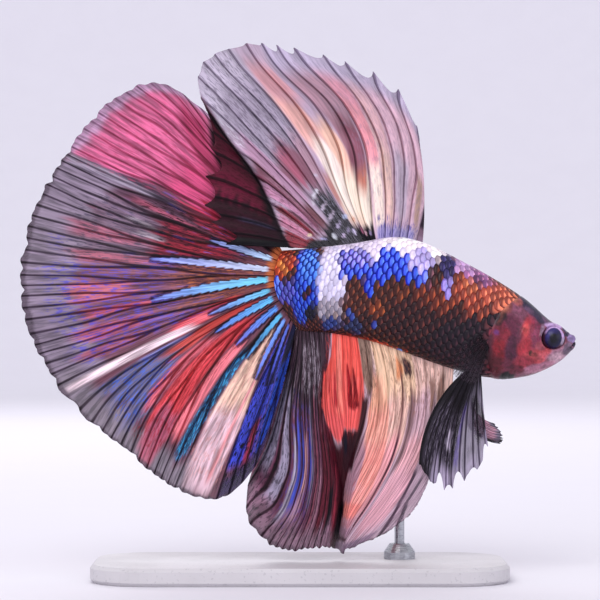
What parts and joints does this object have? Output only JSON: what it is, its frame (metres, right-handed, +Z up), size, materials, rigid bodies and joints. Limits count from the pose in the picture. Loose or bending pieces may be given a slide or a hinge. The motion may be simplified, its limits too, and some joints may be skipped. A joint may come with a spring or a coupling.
{
  "type": "betta fish display model",
  "caption": "Life-size male halfmoon betta with spread fan tail and tall dorsal fin, held in mid-swim by a rod on a flat base.",
  "frame": {"origin": "centre of the underside of the stand's flat base, under the middle of the whole model", "axes": "+X the way the fish heads, +Y toward its left flank, +Z up"},
  "size_m": [0.0777, 0.028, 0.0748],
  "materials": {
    "scaled_skin": "wet scaled skin, royal blue, white, orange brown and black",
    "head_skin": "smooth wet skin, maroon red with slate mottling",
    "lip_skin": "smooth wet skin, pale pink with grey lips",
    "eye": "clear wet eye, blue black pupil, lavender ring",
    "tail_fin": "thin rayed membrane, pink, red, grey and sky blue",
    "back_fin": "thin rayed membrane, lavender grey and cream",
    "belly_fin": "thin rayed membrane, coral, maroon and grey",
    "dark_fin": "thin rayed membrane, black brown",
    "pale_fin": "thin rayed membrane, grey white",
    "stand_plate": "pale cast resin, satin",
    "stand_metal": "fine brushed"
  },
  "bodies": {
    "root": {"trunk": "scaled_skin", "tail_stalk": "scaled_skin", "head": "head_skin", "gill_cover_right": "head_skin", "gill_cover_left": "head_skin", "lower_jaw": "lip_skin", "eye_right": "eye", "eye_left": "eye", "caudal_fin": "tail_fin", "dorsal_fin": "back_fin", "anal_fin": "belly_fin", "pelvic_fin_right": "dark_fin", "pelvic_fin_left": "pale_fin", "pectoral_fin_right": "dark_fin", "pectoral_fin_left": "dark_fin", "stand_base": "stand_plate", "stand_rod": "stand_metal", "stand_collar": "stand_metal"}
  },
  "joints": []
}
